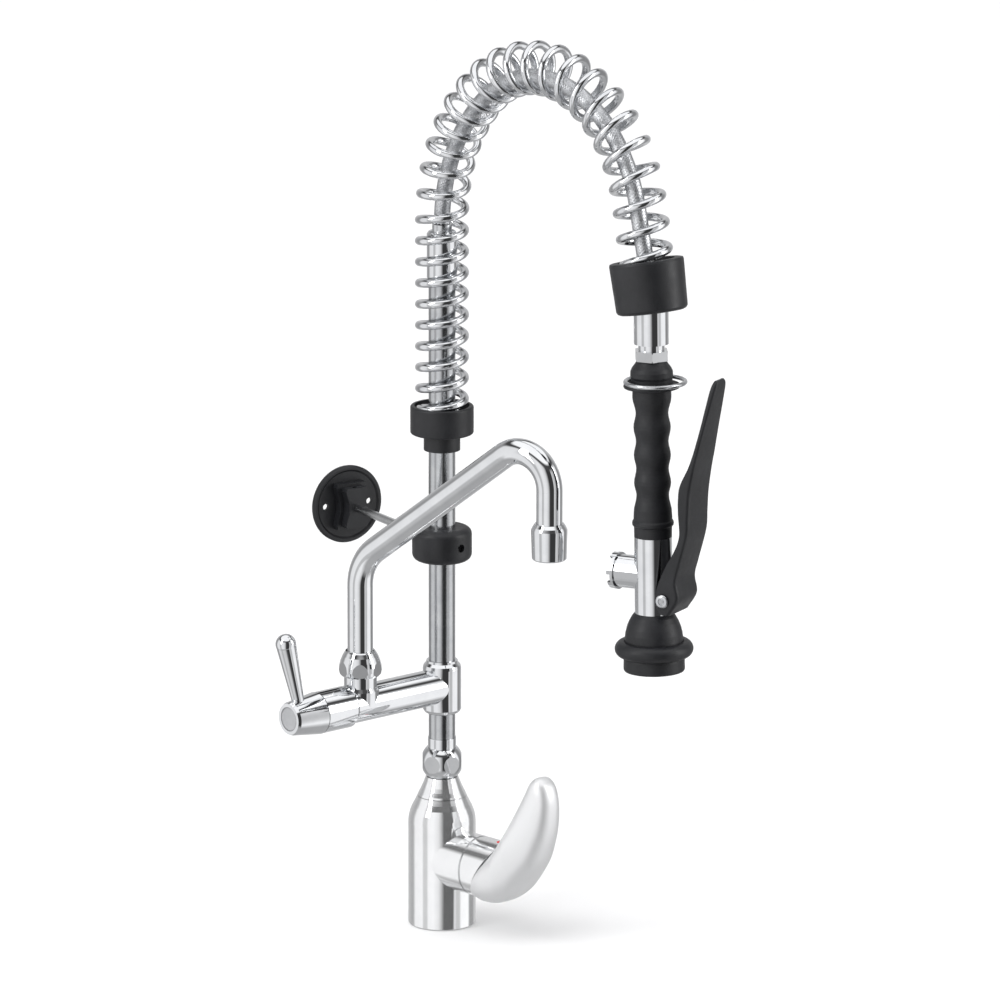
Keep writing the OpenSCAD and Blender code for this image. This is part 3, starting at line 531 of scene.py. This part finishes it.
# ---------------------------------------------------------------- stage, light, camera
floor_me = bpy.data.meshes.new("floor")
bm = bmesh.new()
bmesh.ops.create_grid(bm, x_segments=2, y_segments=2, size=30.0)
bm.to_mesh(floor_me)
bm.free()
floor = bpy.data.objects.new("floor", floor_me)
floor.location = (0, 0, -0.0004)
coll.objects.link(floor)
m, nt, b = new_mat("pale_floor")
nt.links.new(ramp(nt, noise(nt, tex_coord(nt), 3, 2, 0.5), [(0.3, (0.90, 0.90, 0.90)), (0.7, (0.93, 0.93, 0.93))]), b.inputs["Base Color"])
b.inputs["Roughness"].default_value = 0.6
b.inputs["Specular IOR Level"].default_value = 0.2
floor_me.materials.append(m)

FWD = Vector((0.9703 * math.sin(math.radians(40)), 0.9703 * math.cos(math.radians(40)), -0.2419))
RIGHT = Vector((math.cos(math.radians(40)), -math.sin(math.radians(40)), 0))
TARGET = Vector((0, 0, 0.3608))
CAM = TARGET - 6.0 * FWD
mid = Vector((0, -0.1, 0.4))

# A ring of tall soft boxes and dark flags around the faucet, fixed in the world: chrome shows it as upright bands
world = bpy.data.worlds.new("studio")
bpy.context.scene.world = world
world.use_nodes = True
wn = world.node_tree
bg = wn.nodes["Background"]
bg.inputs["Strength"].default_value = 1.0
gen = wn.nodes.new("ShaderNodeTexCoord").outputs["Generated"]
xyz = wn.nodes.new("ShaderNodeSeparateXYZ")
wn.links.new(gen, xyz.inputs[0])


def wmath(op, a, b=None):
    n = wn.nodes.new("ShaderNodeMath")
    n.operation = op
    for k, val in enumerate((a, b)):
        if val is None:
            continue
        if isinstance(val, (int, float)):
            n.inputs[k].default_value = val
        else:
            wn.links.new(val, n.inputs[k])
    return n.outputs[0]


az = wmath("ADD", wmath("DIVIDE", wmath("ARCTAN2", xyz.outputs["Y"], xyz.outputs["X"]), 2 * math.pi), 0.5)
# bands by angle to the right of the front of the set, in degrees, with their brightness
BANDS = [(-180, 0.62), (-150, 0.50), (-128, 0.38), (-116, 0.38), (-104, 0.95), (-72, 1.0), (-66, 0.62), (-54, 0.62), (-48, 1.0), (-30, 1.05),
         (-12, 0.85), (-3, 0.50), (6, 0.05), (38, 0.05), (44, 0.9), (50, 0.62), (62, 0.62), (68, 1.1), (100, 1.15), (110, 0.32), (130, 0.32), (142, 0.55)]


def az_of(deg):
    return (((deg - 130 + 180) % 360) / 360)


stops = sorted((az_of(d), c) for d, c in BANDS)
first, last = stops[0], stops[-1]
wr = wn.nodes.new("ShaderNodeValToRGB")
el = wr.color_ramp.elements
gap = (1 - last[0]) + first[0]
seam = last[1] + (first[1] - last[1]) * ((1 - last[0]) / gap if gap > 1e-6 else 0)
allst = [(0.0, seam)] + stops + [(1.0, seam)]
while len(el) < len(allst):
    el.new(0.5)
for e, (p_, c) in zip(el, allst):
    e.position = p_
    e.color = (c, c * 1.0, c * 1.01, 1)
wn.links.new(az, wr.inputs["Fac"])
zr = wn.nodes.new("ShaderNodeMapRange")
zr.inputs["From Min"].default_value = -1
zr.inputs["From Max"].default_value = 1
wn.links.new(xyz.outputs["Z"], zr.inputs["Value"])
zc = wn.nodes.new("ShaderNodeValToRGB")
ez = zc.color_ramp.elements
ZS = [(0.0, 0.48), (0.14, 0.46), (0.80, 0.08), (0.84, 0.08), (0.88, 1.25), (1.0, 1.25)]
while len(ez) < len(ZS):
    ez.new(0.5)
for e, (p_, c) in zip(ez, ZS):
    e.position = p_
    e.color = (c, c, c * 1.01, 1)
wn.links.new(zr.outputs[0], zc.inputs["Fac"])
zf = wn.nodes.new("ShaderNodeValToRGB")
ef = zf.color_ramp.elements
FS = [(0.0, 1.0), (0.10, 1.0), (0.20, 0.0), (0.74, 0.0), (0.80, 1.0), (1.0, 1.0)]
while len(ef) < len(FS):
    ef.new(0.5)
for e, (p_, c) in zip(ef, FS):
    e.position = p_
    e.color = (c, c, c, 1)
wn.links.new(zr.outputs[0], zf.inputs["Fac"])
mixn = wn.nodes.new("ShaderNodeMix")
mixn.data_type = "RGBA"
wn.links.new(zf.outputs["Color"], mixn.inputs[0])
wn.links.new(wr.outputs["Color"], mixn.inputs[6])
wn.links.new(zc.outputs["Color"], mixn.inputs[7])
wn.links.new(mixn.outputs[2], bg.inputs["Color"])
floor.visible_glossy = False


def area(name, loc, target, size, power, color=(1, 1, 1)):
    d = bpy.data.lights.new(name, "AREA")
    d.shape = "RECTANGLE"
    d.size, d.size_y = size
    d.energy = power
    d.color = color
    o = bpy.data.objects.new(name, d)
    o.location = loc
    o.rotation_euler = (Vector(target) - Vector(loc)).to_track_quat("-Z", "Y").to_euler()
    coll.objects.link(o)
    return o


def around(deg, dist, z):
    """A point dist away from the middle, deg to the right of the set's front."""
    f2 = Vector((-FWD.x, -FWD.y, 0)).normalized()
    a = math.radians(deg)
    d = f2 * math.cos(a) + RIGHT * math.sin(a)
    return Vector((mid.x, mid.y, 0)) + d * dist + Vector((0, 0, z))


sun_d = bpy.data.lights.new("soft_sun", "SUN")
sun_d.energy = 1.35
sun_d.angle = math.radians(50)
sun = bpy.data.objects.new("soft_sun", sun_d)
sun.rotation_euler = (mid - around(-55, 2.0, 3.4)).to_track_quat("-Z", "Y").to_euler()
coll.objects.link(sun)
sun.visible_glossy = False
area("key_left", around(-58, 1.8, 1.3), mid, (0.5, 1.6), 10)
area("edge_right", around(78, 1.8, 1.0), mid, (0.35, 1.6), 9)

cam_d = bpy.data.cameras.new("camera")
cam_d.lens = 263.5
cam_d.sensor_width = 36.0
cam_d.shift_x = 0.058
cam = bpy.data.objects.new("camera", cam_d)
cam.location = CAM
cam.rotation_euler = FWD.to_track_quat("-Z", "Y").to_euler()
coll.objects.link(cam)
bpy.context.scene.camera = cam
cam_d.clip_end = 50

try:
    bpy.context.scene.view_settings.view_transform = "Standard"
except Exception:
    pass
